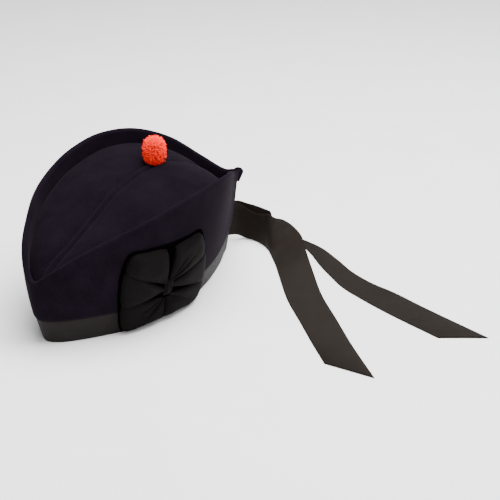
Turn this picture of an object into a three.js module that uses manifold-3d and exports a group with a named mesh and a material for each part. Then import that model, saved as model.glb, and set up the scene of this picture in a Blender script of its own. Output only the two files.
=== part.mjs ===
// Glengarry: a boat-shaped wool cap with a ribbon headband, a toorie on the crown, a ribbon
// rosette on the wearer's left side and two ribbon tails that lie behind it.
// Millimetres, +Z up. The front looks along -Y and the wearer's left is +X.

import * as THREE from 'three';
import { mergeVertices } from 'three/addons/utils/BufferGeometryUtils.js';
import Module from 'manifold-3d';

const wasm = await Module();
wasm.setup();

// Driving sizes of the cap
const rimLength = 275;
const rimWidth = 113;
const topLength = 315;
const frontOverhang = 12.5;
const topWidth = 172;
const topHeight = 136;
const wallBulge = 2.5;
const backNip = 15;
const nipStart = 0.86;
const nipLift = 1.3;

// Wool: the wall, the rolled edge that stands round the crown, and the crown panels
const woolThickness = 3;
const rollWidth = 6;
const foldDepth = 17;
const crownThickness = 2.5;
const crownRise = 14;
const crownPuff = 4;
const crownEndWidth = 2.5;
const seamGap = 0.3;

// Headband
const headbandHeight = 25;
const headbandThickness = 2;
const headbandInset = 1.5;

// Toorie
const toorieDiameter = 24.5;
const toorieStretch = 1.24;
const toorieAlong = 0.525;
const toorieSink = 2.2;
const lockCount = 44;
const lockDiameter = 8;
const lockReach = 1.2;

// Ribbon of the tails and the rosette
const ribbonThickness = 1;
const ribbonWidth = 38;
const tailFoot = 12;
const tailSeamRoom = 0.65;
const tailReach = 330;
const tailLeftSteps = 46;
const tailRightSteps = 53;
const ribbonStrips = 3;
const rosetteHeight = 87;
const backingThickness = 2.2;
const rosettePuff = 8;
const rosetteSteps = 11;
const rosetteRows = 6;
const clearance = 0.3;

// One row for each section of the cap, from the front seam to the back seam.
// along: share of the length. rim: share of half the rim width.
// leftOut, rightOut: shares of half the top width. leftUp, rightUp: shares of the top height.
// ridge: how far the centre ridge stands over the crown's border, as a share of crownRise.
const sections = [
  { along: 0.00, rim: 0.00, leftOut: 0.00, leftUp: 0.485, rightOut: 0.00, rightUp: 0.485, ridge: 0.0 },
  { along: 0.02, rim: 0.21, leftOut: 0.16, leftUp: 0.545, rightOut: 0.178, rightUp: 0.548, ridge: 0.0 },
  { along: 0.07, rim: 0.42, leftOut: 0.37, leftUp: 0.65, rightOut: 0.387, rightUp: 0.655, ridge: -0.1 },
  { along: 0.15, rim: 0.66, leftOut: 0.60, leftUp: 0.748, rightOut: 0.612, rightUp: 0.75, ridge: -0.2 },
  { along: 0.25, rim: 0.89, leftOut: 0.81, leftUp: 0.835, rightOut: 0.83, rightUp: 0.855, ridge: 0.05 },
  { along: 0.36, rim: 1.00, leftOut: 0.95, leftUp: 0.912, rightOut: 0.95, rightUp: 0.947, ridge: 0.55 },
  { along: 0.47, rim: 0.99, leftOut: 1.00, leftUp: 0.957, rightOut: 1.003, rightUp: 1.01, ridge: 0.58 },
  { along: 0.58, rim: 0.91, leftOut: 0.96, leftUp: 0.962, rightOut: 0.957, rightUp: 1.055, ridge: 0.48 },
  { along: 0.69, rim: 0.77, leftOut: 0.76, leftUp: 0.893, rightOut: 0.775, rightUp: 1.048, ridge: 0.3 },
  { along: 0.79, rim: 0.59, leftOut: 0.48, leftUp: 0.79, rightOut: 0.505, rightUp: 0.952, ridge: -0.05 },
  { along: 0.88, rim: 0.39, leftOut: 0.23, leftUp: 0.70, rightOut: 0.241, rightUp: 0.768, ridge: 0.0 },
  { along: 0.95, rim: 0.20, leftOut: 0.085, leftUp: 0.635, rightOut: 0.085, rightUp: 0.635, ridge: 0.0 },
  { along: 0.985, rim: 0.11, leftOut: 0.05, leftUp: 0.62, rightOut: 0.05, rightUp: 0.615, ridge: 0.0 },
  { along: 1.00, rim: 0.00, leftOut: 0.00, leftUp: 0.605, rightOut: 0.00, rightUp: 0.605, ridge: 0.0 },
];
const stepsPerSection = 3;
const left = 1;
const right = -1;

// Colours
const navyWool = new THREE.MeshStandardMaterial({ color: 0x17131f, roughness: 0.95, metalness: 0 });
const ribbonBlack = new THREE.MeshStandardMaterial({ color: 0x1c1a18, roughness: 0.6, metalness: 0 });
const tailBlack = new THREE.MeshStandardMaterial({ color: 0x2a2723, roughness: 0.6, metalness: 0 });
const toorieRed = new THREE.MeshStandardMaterial({ color: 0xd8321c, roughness: 1, metalness: 0 });

const vector = (x, y, z) => new THREE.Vector3(x, y, z);

// A closed curve through the left points from front to back and the right ones on the way back.
function capLoop(place) {
  const there = sections.map((row) => place(row, left));
  const back = sections.slice(1, -1).reverse().map((row) => place(row, right));
  return new THREE.CatmullRomCurve3([...there, ...back], true, 'centripetal');
}

const rimLoop = capLoop((row, side) => vector(
  side * row.rim * rimWidth / 2,
  (row.along - 0.5) * rimLength,
  0,
));

const topFront = -rimLength / 2 - frontOverhang;
const edgeLoop = capLoop((row, side) => vector(
  side * (side === left ? row.leftOut : row.rightOut) * topWidth / 2,
  topFront + row.along * topLength,
  (side === left ? row.leftUp : row.rightUp) * topHeight,
));

const ridgeCurve = new THREE.CatmullRomCurve3(sections.map((row) => vector(row.along, row.ridge, 0)));

// The horizontal way out of the wall at a place along the rim: forwards at the front seam,
// sideways at mid length and backwards at the back seam.
function outwards(side, rimPoint) {
  const cosine = THREE.MathUtils.clamp(-2 * rimPoint.y / rimLength, -1, 1);
  return vector(side * Math.sqrt(1 - cosine * cosine), -cosine, 0);
}

// How far the wall is pinched in towards the back seam, between the rim and the ear at the top.
function nip(place, share) {
  const fade = THREE.MathUtils.smoothstep(place, nipStart, 1);
  return backNip * fade * Math.sin(Math.PI * share ** nipLift);
}

// A point of the wall. place runs from 0 at the front seam to 1 at the back seam, inward is the
// depth behind the outer face, and the height is a share of the wall (up) less a length (down).
function wallPoint(side, place, { up = 1, down = 0, inward = 0, gap = seamGap }) {
  const turn = side === left ? place / 2 : 1 - place / 2;
  const rim = rimLoop.getPoint(turn);
  const edge = edgeLoop.getPoint(turn);
  const out = outwards(side, rim);
  const share = up - down / rim.distanceTo(edge);
  const level = THREE.MathUtils.clamp(share, 0, 1);
  const bulge = wallBulge * Math.sin(Math.PI * level) - nip(place, level);
  const point = rim.lerp(edge, share).addScaledVector(out, bulge - inward);
  point.x = side * Math.max(side * point.x, gap / 2);
  return point;
}

// The share of the wall at which it reaches a given height over the floor.
function shareAtHeight(side, place, level) {
  return level / edgeLoop.getPoint(side === left ? place / 2 : 1 - place / 2).z;
}

// A closed mesh through rings of points that all have the same count. Open ends are capped flat.
function loft(rings, { closed = false } = {}) {
  const count = rings[0].length;
  const positions = rings.flat().flatMap((point) => point.toArray());
  const indices = [];
  const spans = closed ? rings.length : rings.length - 1;
  for (let i = 0; i < spans; i += 1) {
    const next = (i + 1) % rings.length;
    for (let k = 0; k < count; k += 1) {
      const a = i * count + k;
      const b = i * count + (k + 1) % count;
      const c = next * count + k;
      const d = next * count + (k + 1) % count;
      indices.push(a, b, c, b, d, c);
    }
  }
  if (!closed) {
    indices.push(...capFaces(rings[0], 0, true));
    indices.push(...capFaces(rings[rings.length - 1], (rings.length - 1) * count, false));
  }
  const geometry = new THREE.BufferGeometry();
  geometry.setAttribute('position', new THREE.Float32BufferAttribute(positions, 3));
  geometry.setIndex(indices);
  return facingOut(geometry);
}

// Triangles over one ring, worked out in the plane in which the ring is widest.
function capFaces(ring, first, flip) {
  const normal = vector(0, 0, 0);
  ring.forEach((point, k) => normal.add(point.clone().cross(ring[(k + 1) % ring.length])));
  const across = ring[0].clone().sub(ring[Math.floor(ring.length / 2)]).normalize();
  normal.normalize();
  across.addScaledVector(normal, -across.dot(normal)).normalize();
  const along = normal.clone().cross(across);
  const flat = ring.map((point) => new THREE.Vector2(point.dot(across), point.dot(along)));
  const faces = THREE.ShapeUtils.triangulateShape(flat, []);
  const turned = flip ? faces.map(([a, b, c]) => [a, c, b]) : faces;
  return turned.flat().map((index) => first + index);
}

// Turns every face round if the mesh encloses a negative volume.
function facingOut(geometry) {
  const at = (index) => vector().fromBufferAttribute(geometry.attributes.position, index);
  const indices = Array.from(geometry.index.array);
  let volume = 0;
  for (let i = 0; i < indices.length; i += 3) {
    volume += at(indices[i]).dot(at(indices[i + 1]).cross(at(indices[i + 2])));
  }
  if (volume < 0) {
    for (let i = 0; i < indices.length; i += 3) {
      [indices[i + 1], indices[i + 2]] = [indices[i + 2], indices[i + 1]];
    }
    geometry.setIndex(indices);
  }
  geometry.computeVertexNormals();
  return geometry;
}

const range = (count) => Array.from({ length: count + 1 }, (unused, i) => i / count);
const places = range((sections.length - 1) * stepsPerSection);

// One wool side panel: up its outer face, over the rolled edge, down the fold behind it, and
// down its inner face to the headband.
function sideWall(side) {
  const rollRadius = rollWidth / 2;
  const rings = places.map((place) => {
    const foot = shareAtHeight(side, place, headbandHeight + clearance);
    const at = (options) => wallPoint(side, place, options);
    const outer = range(7).map((k) => at({ up: foot + (1 - foot) * k, down: rollRadius * k }));
    const roll = range(5).slice(1).map((k) => at({
      down: rollRadius * (1 - Math.sin(Math.PI * k)),
      inward: rollRadius * (1 - Math.cos(Math.PI * k)),
    }));
    const fold = [0.5, 1].map((k) => at({
      down: rollRadius + (foldDepth - rollRadius) * k,
      inward: rollWidth,
    }));
    const inner = range(6).map((k) => at({
      up: foot + (1 - foot) * (1 - k),
      down: foldDepth * (1 - k),
      inward: woolThickness,
    }));
    return [...outer, ...roll, ...fold, ...inner];
  });
  return loft(rings);
}

// The ring of ribbon that binds the rim.
function headband() {
  const round = [
    ...places.map((place) => [left, place]),
    ...places.slice(1, -1).reverse().map((place) => [right, place]),
  ];
  const rings = round.map(([side, place]) => {
    const top = shareAtHeight(side, place, headbandHeight);
    const at = (up, inward) => wallPoint(side, place, { up, inward, gap: 0 });
    const levels = [0, top / 2, top];
    return [
      ...levels.map((up) => at(up, headbandInset)),
      ...levels.reverse().map((up) => at(up, headbandInset + headbandThickness)),
    ];
  });
  return loft(rings, { closed: true });
}

// Where a crown panel meets the fold of its wall.
function crownBorder(side, place, down) {
  return wallPoint(side, place, { down, inward: rollWidth + clearance });
}

// The centre ridge, at the mean of both borders plus its own rise.
function ridgePoint(side, place, down) {
  const middle = crownBorder(left, place, foldDepth - crownThickness + down)
    .lerp(crownBorder(right, place, foldDepth - crownThickness + down), 0.5);
  return vector(side * seamGap / 2, middle.y, middle.z + crownRise * ridgeCurve.getPoint(place).y);
}

// One crown panel, from the fold of its wall to the centre ridge.
function crownPanel(side) {
  const open = places.filter((place) => side * crownBorder(side, place, foldDepth).x > crownEndWidth);
  const rings = open.map((place) => {
    const face = (down) => {
      const border = crownBorder(side, place, foldDepth - crownThickness + down);
      const ridge = ridgePoint(side, place, down);
      const puff = crownPuff * Math.min(1, Math.abs(border.x) / (topWidth / 4));
      return range(7).map((k) => {
        const point = border.clone().lerp(ridge, k);
        point.z += puff * Math.sin(Math.PI * k);
        return point;
      });
    };
    return [...face(0), ...face(crownThickness).reverse()];
  });
  return loft(rings);
}

// A three.js geometry as a solid that can be joined and cut, and back again.
function toSolid(geometry) {
  const bare = geometry.clone();
  bare.deleteAttribute('normal');
  bare.deleteAttribute('uv');
  const merged = mergeVertices(bare, 1e-4);
  return new wasm.Manifold(new wasm.Mesh({
    numProp: 3,
    vertProperties: new Float32Array(merged.attributes.position.array),
    triVerts: new Uint32Array(merged.index.array),
  }));
}

function toGeometry(solid) {
  const mesh = solid.getMesh();
  const geometry = new THREE.BufferGeometry();
  geometry.setAttribute('position', new THREE.Float32BufferAttribute(Array.from(mesh.vertProperties), 3));
  geometry.setIndex(Array.from(mesh.triVerts));
  geometry.computeVertexNormals();
  return geometry;
}

// The toorie: a ball with short round locks of wool all over it, seated on the crown ridge.
function toorie(crown) {
  const radius = toorieDiameter / 2;
  const goldenAngle = Math.PI * (3 - Math.sqrt(5));
  let solid = toSolid(new THREE.IcosahedronGeometry(radius - lockReach, 1));
  for (let i = 0; i < lockCount; i += 1) {
    const height = 1 - 2 * (i + 0.5) / lockCount;
    const ring = Math.sqrt(1 - height * height);
    const away = vector(ring * Math.cos(goldenAngle * i), ring * Math.sin(goldenAngle * i), height);
    const lock = new THREE.IcosahedronGeometry(lockDiameter / 2, 0);
    lock.translate(...away.multiplyScalar(radius - lockDiameter / 2).toArray());
    solid = solid.add(toSolid(lock));
  }
  const seat = ridgePoint(left, toorieAlong, 0);
  const placed = solid.scale([1, 1, toorieStretch])
    .translate([0, seat.y, seat.z + radius * toorieStretch - toorieSink]);
  const room = crown.map((panel) => toSolid(panel.clone().translate(0, 0, clearance)));
  return toGeometry(room.reduce((rest, panel) => rest.subtract(panel), placed));
}

// A ribbon between its two edges, each given as a list of points, with its thickness to each side.
function ribbon(rows, steps, thickness) {
  const nearCurve = new THREE.CatmullRomCurve3(rows.map((row) => row.near));
  const farCurve = new THREE.CatmullRomCurve3(rows.map((row) => row.far));
  const rings = range(steps).map((t) => {
    const near = nearCurve.getPoint(t);
    const far = farCurve.getPoint(t);
    const across = far.clone().sub(near);
    const along = nearCurve.getTangent(t).add(farCurve.getTangent(t));
    const normal = along.cross(across).normalize().multiplyScalar(thickness / 2);
    const face = (shift, floor) => range(ribbonStrips).map((k) => {
      const point = near.clone().lerp(far, k).addScaledVector(normal, shift);
      point.z = Math.max(point.z, floor);
      return point;
    });
    return [...face(1, thickness), ...face(-1, 0).reverse()];
  });
  return loft(rings);
}

// Both tails start on edge, side by side against the back seam.
function tailStart(side) {
  const atSeam = (level) => {
    const seam = wallPoint(left, 1, { up: shareAtHeight(left, 1, level) });
    return vector(side * (ribbonThickness + clearance) / 2, seam.y + clearance + tailSeamRoom, level);
  };
  return { near: atSeam(tailFoot), far: atSeam(tailFoot + ribbonWidth) };
}

// The tails' routes after their start. out and back: where the ribbon's middle is, to the
// wearer's left and behind the rim, as shares of tailReach. up: its height as a share of the
// ribbon's width. turn: the heading of the way across the ribbon, lean: how far that way stands
// up, both in degrees. spread: the width there as a share of the ribbon's, less than 1 in a
// gather and more than 1 along a slanting fold or cut.
const tailRoutes = {
  tail_left: [
    { out: 0.009, back: 0.061, up: 0.681, turn: 56, lean: 87, spread: 0.97 },
    { out: 0.026, back: 0.086, up: 0.516, turn: 63, lean: 86, spread: 0.92 },
    { out: 0.045, back: 0.097, up: 0.434, turn: 99, lean: 79, spread: 0.82 },
    { out: 0.067, back: 0.100, up: 0.420, turn: 112, lean: 73, spread: 0.83 },
    { out: 0.096, back: 0.092, up: 0.430, turn: 129, lean: 60, spread: 0.95 },
    { out: 0.119, back: 0.082, up: 0.462, turn: 121, lean: 61, spread: 1.02 },
    { out: 0.131, back: 0.083, up: 0.416, turn: 110, lean: 54, spread: 0.99 },
    { out: 0.141, back: 0.097, up: 0.337, turn: 102, lean: 33, spread: 1.18 },
    { out: 0.156, back: 0.106, up: 0.215, turn: 98, lean: 17, spread: 1.42 },
    { out: 0.187, back: 0.092, up: 0.118, turn: 93, lean: 8, spread: 1.54 },
    { out: 0.235, back: 0.045, up: 0.046, turn: 84, lean: 3, spread: 1.31 },
    { out: 0.314, back: -0.041, up: 0.018, turn: 53, lean: 1, spread: 0.99 },
    { out: 0.432, back: -0.167, up: 0.013, turn: 52, lean: 0, spread: 0.97 },
    { out: 0.553, back: -0.274, up: 0.013, turn: 51, lean: 0, spread: 0.95 },
    { out: 0.659, back: -0.368, up: 0.013, turn: 29, lean: 0, spread: 0.99 },
    { out: 0.779, back: -0.468, up: 0.013, turn: 5, lean: 0, spread: 1.32 },
  ],
  tail_right: [
    { out: -0.001, back: 0.068, up: 0.717, turn: 53, lean: 86, spread: 1.02 },
    { out: 0.014, back: 0.098, up: 0.592, turn: 45, lean: 85, spread: 1.00 },
    { out: 0.038, back: 0.111, up: 0.521, turn: 98, lean: 79, spread: 0.98 },
    { out: 0.070, back: 0.114, up: 0.486, turn: 101, lean: 73, spread: 0.95 },
    { out: 0.092, back: 0.105, up: 0.493, turn: 100, lean: 73, spread: 0.98 },
    { out: 0.103, back: 0.101, up: 0.499, turn: 95, lean: 74, spread: 0.97 },
    { out: 0.113, back: 0.112, up: 0.309, turn: 100, lean: 59, spread: 0.63 },
    { out: 0.135, back: 0.135, up: 0.147, turn: 101, lean: 28, spread: 0.49 },
    { out: 0.167, back: 0.161, up: 0.050, turn: 97, lean: 8, spread: 0.44 },
    { out: 0.205, back: 0.168, up: 0.026, turn: 76, lean: 5, spread: 0.33 },
    { out: 0.273, back: 0.139, up: 0.036, turn: 77, lean: 5, spread: 0.46 },
    { out: 0.354, back: 0.087, up: 0.040, turn: 50, lean: 5, spread: 0.58 },
    { out: 0.433, back: 0.038, up: 0.030, turn: 55, lean: 2, spread: 0.66 },
    { out: 0.519, back: -0.003, up: 0.022, turn: 56, lean: 1, spread: 0.84 },
    { out: 0.608, back: -0.027, up: 0.013, turn: 63, lean: 0, spread: 0.98 },
    { out: 0.721, back: -0.061, up: 0.013, turn: 59, lean: 0, spread: 1.02 },
    { out: 0.941, back: -0.117, up: 0.013, turn: 36, lean: 0, spread: 1.26 },
  ],
};

// The two edges of a ribbon at one row of its route.
function tailRow({ out, back, up, turn, lean, spread }) {
  const middle = vector(out * tailReach, rimLength / 2 + back * tailReach, up * ribbonWidth);
  const heading = THREE.MathUtils.degToRad(turn);
  const rise = THREE.MathUtils.degToRad(lean);
  const level = Math.cos(rise);
  const across = vector(Math.cos(heading) * level, Math.sin(heading) * level, Math.sin(rise));
  across.multiplyScalar(spread * ribbonWidth / 2);
  return { near: middle.clone().sub(across), far: middle.clone().add(across) };
}

function tail(name, side, steps) {
  return ribbon([tailStart(side), ...tailRoutes[name].map(tailRow)], steps, ribbonThickness);
}

// The rosette lies on the left wall. front and back are places along the wall, at the piece's
// foot and at its head. foot and head are heights over the floor, as shares of rosetteHeight.
// layers is 1 where the backing lies below the piece. edge is its thickness at the border and
// crest how far its middle puffs out beyond that, both as shares of rosettePuff.
const rosetteParts = {
  rosette_backing: {
    front: [0.262, 0.268], back: [0.56, 0.495], foot: 0.011, head: 1, layers: 0, edge: 0.15, crest: 0.075,
  },
  rosette_loop_front: {
    front: [0.28, 0.285], back: [0.376, 0.376], foot: 0.31, head: 0.92, layers: 1, edge: 0.19, crest: 1,
  },
  rosette_knot: {
    front: [0.38, 0.38], back: [0.4, 0.4], foot: 0.31, head: 0.53, layers: 1, edge: 0.625, crest: 0.5,
  },
  rosette_loop_back: {
    front: [0.404, 0.404], back: [0.535, 0.488], foot: 0.31, head: 0.93, layers: 1, edge: 0.19, crest: 0.875,
  },
  rosette_pleats: {
    front: [0.285, 0.29], back: [0.545, 0.53], foot: 0.057, head: 0.3, layers: 1, edge: 0.19, crest: 0.375,
  },
};

function rosettePiece({ front, back, foot, head, layers, edge, crest }) {
  const point = (u, v, raise) => {
    const start = THREE.MathUtils.lerp(front[0], front[1], v);
    const end = THREE.MathUtils.lerp(back[0], back[1], v);
    const place = THREE.MathUtils.lerp(start, end, u);
    const up = shareAtHeight(left, place, rosetteHeight * THREE.MathUtils.lerp(foot, head, v));
    return wallPoint(left, place, { up, inward: -clearance - layers * backingThickness - raise });
  };
  const puff = (u, v) => rosettePuff * (edge + crest * Math.sin(Math.PI * u) * Math.sin(Math.PI * v));
  const rings = range(rosetteSteps).map((u) => [
    ...range(rosetteRows).map((v) => point(u, v, 0)),
    ...range(rosetteRows).reverse().map((v) => point(u, v, puff(u, v))),
  ]);
  return loft(rings);
}

const crownGeometries = { crown_left: crownPanel(left), crown_right: crownPanel(right) };

const pieces = [
  ['headband', headband(), ribbonBlack],
  ['side_wall_left', sideWall(left), navyWool],
  ['side_wall_right', sideWall(right), navyWool],
  ['crown_left', crownGeometries.crown_left, navyWool],
  ['crown_right', crownGeometries.crown_right, navyWool],
  ['toorie', toorie(Object.values(crownGeometries)), toorieRed],
  ['tail_left', tail('tail_left', left, tailLeftSteps), tailBlack],
  ['tail_right', tail('tail_right', right, tailRightSteps), tailBlack],
  ...Object.entries(rosetteParts).map(([name, part]) => [name, rosettePiece(part), ribbonBlack]),
];

const cap = new THREE.Group();
for (const [name, geometry, material] of pieces) {
  const mesh = new THREE.Mesh(geometry, material);
  mesh.name = name;
  cap.add(mesh);
}

// The origin is the middle of the whole outline, on the surface that the cap stands on.
const outline = new THREE.Box3().setFromObject(cap);
const middle = outline.getCenter(vector(0, 0, 0));
cap.position.set(-middle.x, -middle.y, -outline.min.z);

const glengarry = new THREE.Group();
glengarry.add(cap);

export default glengarry;
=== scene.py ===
# %% [markdown]
# # A glengarry
#
# A glengarry is a boat-shaped cap of thick milled wool. Two side panels meet in a front seam
# and a back seam and stand up round a creased crown. A ribbon binds the rim, a woollen ball
# called the toorie sits on the crease, a bow of black ribbon is sewn to the wearer's left
# side, and two ribbon tails lie behind the cap.
#
# The solids of the cap come in ready made, as a frame that is never moved. Each soft piece is
# made anew here as a fine surface in the same place. Lengths are in millimetres in the
# modelling frame, whose origin is the middle of the rim, and become metres in one function.

# %% Load the frame and keep its box
import bpy
import numpy as np
from mathutils import Matrix, Vector


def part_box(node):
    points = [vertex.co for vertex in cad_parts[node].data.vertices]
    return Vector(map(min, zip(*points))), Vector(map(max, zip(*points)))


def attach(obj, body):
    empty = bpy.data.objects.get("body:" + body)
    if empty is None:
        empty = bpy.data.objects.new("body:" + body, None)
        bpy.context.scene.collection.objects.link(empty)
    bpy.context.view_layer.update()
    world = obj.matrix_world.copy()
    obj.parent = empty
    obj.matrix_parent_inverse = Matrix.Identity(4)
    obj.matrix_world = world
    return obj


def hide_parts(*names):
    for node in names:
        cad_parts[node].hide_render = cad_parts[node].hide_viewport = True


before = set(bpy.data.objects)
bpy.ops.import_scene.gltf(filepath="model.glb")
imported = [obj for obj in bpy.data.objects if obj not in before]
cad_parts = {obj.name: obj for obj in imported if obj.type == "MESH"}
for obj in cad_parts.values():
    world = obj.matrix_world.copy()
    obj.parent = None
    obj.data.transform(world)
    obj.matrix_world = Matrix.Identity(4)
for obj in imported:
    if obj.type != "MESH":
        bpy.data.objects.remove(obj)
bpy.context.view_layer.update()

print("frame nodes:", ", ".join(sorted(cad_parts)))

# %% [markdown]
# ## The camera
#
# The cap is seen from its front left and from a little above. A camera is best described by
# where it stands and which way it looks. Turning it by its own angles would do as well, but
# an aim point is easier to read. The picture is square and the lens is long, so that the cap
# keeps its natural shape.

# %% The cap's own origin, and the camera
SEAM_GAP = 0.3
TOP_FRONT = -150.0
wall_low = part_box("side_wall_left")[0]
ORIGIN = np.array([wall_low.x * 1000 - SEAM_GAP / 2, wall_low.y * 1000 - TOP_FRONT, 0.0])


def to_frame(points):
    """Points of the cap's own frame, in millimetres, as points of the shared frame in metres:
    the sum of the point and the origin, divided by a thousand."""
    return (np.asarray(points, float) + ORIGIN) / 1000.0


CAMERA_AT = (737.4, -821.0, 533.4)
CAMERA_TURN = 36.27
CAMERA_PITCH = 24.0
FOCAL_LENGTH = 86.4
SENSOR = 36.0

camera = bpy.data.objects.new("camera", bpy.data.cameras.new("camera"))
camera.data.sensor_fit = "HORIZONTAL"
camera.data.sensor_width = SENSOR
camera.data.lens = FOCAL_LENGTH
camera.location = Vector(to_frame(CAMERA_AT))
camera.rotation_euler = np.radians((90.0 - CAMERA_PITCH, 0.0, CAMERA_TURN))
bpy.context.collection.objects.link(camera)
bpy.context.scene.camera = camera
print("cap origin in the frame, mm:", ORIGIN.round(2), "camera, m:", camera.location)

# %% [markdown]
# ## From a grid of points to a mesh
#
# Every piece of cloth here is a surface over two parameters. The points are worked out as one
# array, and a mesh is filled from it in one go. A sheet of real cloth has a thickness, so most
# pieces are shells: an outer face and an inner face whose edges are joined. A Solidify
# modifier could add the inner face, but a shell made by hand lets the edges be rounded and
# stay shut.

# %% Curves and meshes
def smooth_through(points, t, closed=False):
    """A centripetal Catmull-Rom curve through the points, read at every t from 0 to 1. Each
    span is a cubic whose end slopes come from the neighbouring points, weighted by the square
    root of the distances between them. An open curve goes on straight past its ends."""
    points = np.asarray(points, float)
    t = np.asarray(t, float)
    if closed:
        ring = np.vstack([points[-1:], points, points[:2]])
        spans = len(points)
    else:
        ring = np.vstack([2 * points[:1] - points[1:2], points, 2 * points[-1:] - points[-2:-1]])
        spans = len(points) - 1
    place = np.clip(t, 0.0, 1.0) * spans
    first = np.minimum(place.astype(int), spans - 1)
    s = (place - first)[..., None]
    p0, p1, p2, p3 = (ring[first + i] for i in range(4))
    root = [np.sqrt(np.linalg.norm(b - a, axis=-1, keepdims=True)) for a, b in ((p0, p1), (p1, p2), (p2, p3))]
    d0, d1, d2 = (np.maximum(d, 1e-6) for d in root)
    m1 = ((p1 - p0) / d0 - (p2 - p0) / (d0 + d1) + (p2 - p1) / d1) * d1
    m2 = ((p2 - p1) / d1 - (p3 - p1) / (d1 + d2) + (p3 - p2) / d2) * d1
    return (
        p1 + m1 * s
        + (-3 * p1 + 3 * p2 - 2 * m1 - m2) * s**2
        + (2 * p1 - 2 * p2 + m1 + m2) * s**3
    )


def smoothstep(low, high, x):
    """0 below low, 1 above high, and the cubic 3t^2 - 2t^3 between them."""
    t = np.clip((np.asarray(x, float) - low) / (high - low), 0.0, 1.0)
    return t * t * (3 - 2 * t)


def fill_mesh(name, points, quads, uv=None, triangles=None):
    """A mesh object from arrays: points in millimetres, rows of four corner numbers, and a
    (u, v) pair for each point. The faces are turned round if the shell they make has a
    negative volume, which is a sixth of the sum of each triangle's triple product."""
    quads = np.asarray(quads)
    extra = np.zeros((0, 3), int) if triangles is None else np.asarray(triangles)
    split = np.vstack([quads[:, [0, 1, 2]], quads[:, [0, 2, 3]], extra])
    a, b, c = (points[split[:, i]] for i in range(3))
    if np.einsum("ij,ij->i", a, np.cross(b, c)).sum() < 0:
        quads = quads[:, ::-1]
        extra = extra[:, ::-1]
    mesh = bpy.data.meshes.new(name)
    mesh.from_pydata(to_frame(points).tolist(), [], quads.tolist() + extra.tolist())
    mesh.shade_smooth()
    if uv is not None:
        corners = np.zeros(len(mesh.loops), int)
        mesh.loops.foreach_get("vertex_index", corners)
        mesh.uv_layers.new(name="cloth").data.foreach_set("uv", uv[corners].ravel())
    mesh.update()
    piece = bpy.data.objects.new(name, mesh)
    bpy.context.collection.objects.link(piece)
    return piece


def loft(name, rings, uv=None, closed=False):
    """A closed mesh over an array of rings, shaped (rings, points in a ring, 3). Neighbouring
    rings are joined by quads. The two open ends are closed like a ladder: point i of the ring
    is joined to its opposite, point n-1-i."""
    count, size = rings.shape[:2]
    i = np.arange(count if closed else count - 1)[:, None]
    k = np.arange(size)[None, :]
    near = i * size
    far = (i + 1) % count * size
    side = (k + 1) % size
    quads = np.stack(np.broadcast_arrays(near + k, near + side, far + side, far + k), -1).reshape(-1, 4)
    if not closed:
        step = np.arange(size // 2 - 1)
        rungs = np.stack([step, size - 1 - step, size - 2 - step, step + 1], -1)
        quads = np.vstack([quads, rungs, rungs[:, ::-1] + (count - 1) * size])
    return fill_mesh(name, rings.reshape(-1, 3), quads, None if uv is None else uv.reshape(-1, 2))


def normals_of(sheet):
    """Unit normals of a sheet of points: the cross product of its slopes along both
    parameters, divided by its length."""
    across = np.cross(np.gradient(sheet, axis=0), np.gradient(sheet, axis=1))
    return across / np.maximum(np.linalg.norm(across, axis=-1, keepdims=True), 1e-9)


def sheet_shell(name, sheet, thickness, uv=None, edge=0.35):
    """A sheet of cloth with a thickness: each point goes half the thickness out along the
    normal and half of it in. Towards the two long edges the thickness falls along the
    quarter of an ellipse to the share called edge, so that they look rounded."""
    across = np.linspace(-1, 1, sheet.shape[1])
    swell = edge + (1 - edge) * np.sqrt(np.clip(1 - np.abs(across) ** 16, 0, 1))
    shift = normals_of(sheet) * (thickness / 2 * swell)[None, :, None]
    rings = np.concatenate([sheet + shift, (sheet - shift)[:, ::-1]], axis=1)
    if uv is not None:
        uv = np.concatenate([uv, uv[:, ::-1]], axis=1)
    return loft(name, rings, uv)


def distances(points):
    """How far along a line of points each one lies: the running sum of the steps' lengths."""
    steps = np.linalg.norm(np.diff(points, axis=0), axis=-1)
    return np.concatenate([[0.0], np.cumsum(steps)])


def dress(piece, nodes, material):
    """Gives a piece its material and its slot, and lets it ride in place of the nodes."""
    piece.data.materials.clear()
    piece.data.materials.append(material)
    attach(piece, "root")
    if nodes:
        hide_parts(*nodes)
    print(f"{piece.name}: {len(piece.data.polygons)} faces for {', '.join(nodes) or 'detail'}")
    return piece


# %% [markdown]
# ## The cap's form
#
# The wall is ruled between two closed curves: the rim on the table and the top edge, which
# flares out and rises towards the middle. Both go through a few sections, listed from the
# front seam to the back seam as shares of the main sizes. The same sections shape the solids,
# so the new surfaces fall where the old ones were.

# %% Main sizes and sections
RIM_LENGTH = 275.0
RIM_WIDTH = 113.0
TOP_LENGTH = 315.0
TOP_WIDTH = 172.0
TOP_HEIGHT = 136.0
WALL_BULGE = 2.5
BACK_NIP = 15.0
NIP_START = 0.86
NIP_LIFT = 1.3
WOOL = 3.0
ROLL = 6.0
FOLD_DEPTH = 17.0
HEADBAND_HEIGHT = 25.0
CLEARANCE = 0.3
LEFT, RIGHT = 1, -1

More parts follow.
